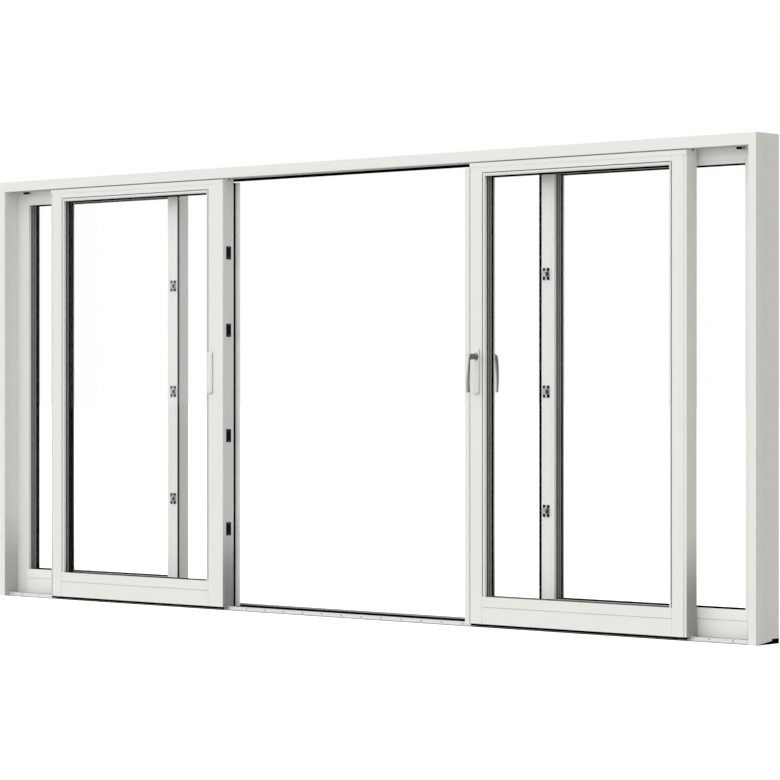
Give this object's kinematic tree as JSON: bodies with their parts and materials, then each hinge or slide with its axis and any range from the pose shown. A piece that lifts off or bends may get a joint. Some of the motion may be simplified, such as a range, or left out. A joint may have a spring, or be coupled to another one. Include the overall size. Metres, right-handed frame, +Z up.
{
  "type": "glass sliding patio door",
  "caption": "Wide sliding patio door: white frame with fixed glazed end lights, two sliding glazed leaves that meet in the middle, and a lever handle.",
  "frame": {"origin": "under the threshold, at mid length and mid depth of the frame", "axes": "+X along the wall, to the right seen from the room; +Y to the outside; +Z up"},
  "size_m": [4.78, 0.2471, 2.18],
  "materials": {
    "white_paint": "satin off-white paint on timber",
    "base_plastic": "black ribbed plastic",
    "rail_aluminium": "pale anodised",
    "cover_aluminium": "natural anodised",
    "guide_aluminium": "natural anodised",
    "strip_aluminium": "satin anodised",
    "black_rubber": "matt black",
    "bracket_steel": "zinc-plated",
    "clip_steel": "satin",
    "keep_black": "black coated",
    "clear_glass": "clear",
    "spacer_grey": "warm-edge spacer",
    "white_plastic": "satin white",
    "handle_chrome": "satin chrome"
  },
  "bodies": {
    "frame": {"threshold_base": "base_plastic", "running_rail": "rail_aluminium", "threshold_cover": "cover_aluminium", "head": "white_paint", "head_guide": "guide_aluminium", "head_seal": "black_rubber", "left_jamb": "white_paint", "right_jamb": "white_paint", "stop_brackets": "bracket_steel", "stop_buffers": "black_rubber", "fixed_edge_seals": "black_rubber", "interlock_clips": "clip_steel", "left_fixed_stiles": "white_paint", "left_fixed_rails": "white_paint", "right_fixed_stiles": "white_paint", "right_fixed_rails": "white_paint", "fixed_beads": "white_paint", "fixed_gaskets": "black_rubber", "fixed_glass": "clear_glass", "fixed_spacers": "spacer_grey"},
    "left_leaf": {"left_leaf_stiles": "white_paint", "left_leaf_rails": "white_paint", "left_leaf_beads": "white_paint", "left_leaf_gaskets": "black_rubber", "left_leaf_glass": "clear_glass", "left_leaf_spacers": "spacer_grey", "left_leaf_rollers": "bracket_steel", "left_leaf_keeps": "keep_black", "left_leaf_outside_strip": "strip_aluminium", "left_leaf_strip_seal": "black_rubber", "left_leaf_cover_plate": "white_plastic"},
    "right_leaf": {"right_leaf_stiles": "white_paint", "right_leaf_rails": "white_paint", "right_leaf_beads": "white_paint", "right_leaf_gaskets": "black_rubber", "right_leaf_glass": "clear_glass", "right_leaf_spacers": "spacer_grey", "right_leaf_rollers": "bracket_steel", "right_leaf_room_strip": "white_paint", "right_leaf_lock_plate": "bracket_steel", "right_leaf_inside_plate": "white_plastic", "right_leaf_outside_plate": "white_plastic"},
    "handle": {"handle_inside": "handle_chrome", "handle_outside": "handle_chrome", "handle_spindle": "bracket_steel"}
  },
  "joints": [
    {"name": "left_leaf_slide", "type": "slide", "parent": "frame", "child": "left_leaf", "axis": [1, 0, 0], "range_m": [-0.243, 0.7515]},
    {"name": "right_leaf_slide", "type": "slide", "parent": "frame", "child": "right_leaf", "axis": [-1, 0, 0], "range_m": [-0.207, 0.7875]},
    {"name": "handle_turn", "type": "hinge", "parent": "right_leaf", "child": "handle", "pos_m": [0.863, 0, 1.237], "axis": [0, 1, 0], "range_deg": [0, 180]}
  ]
}
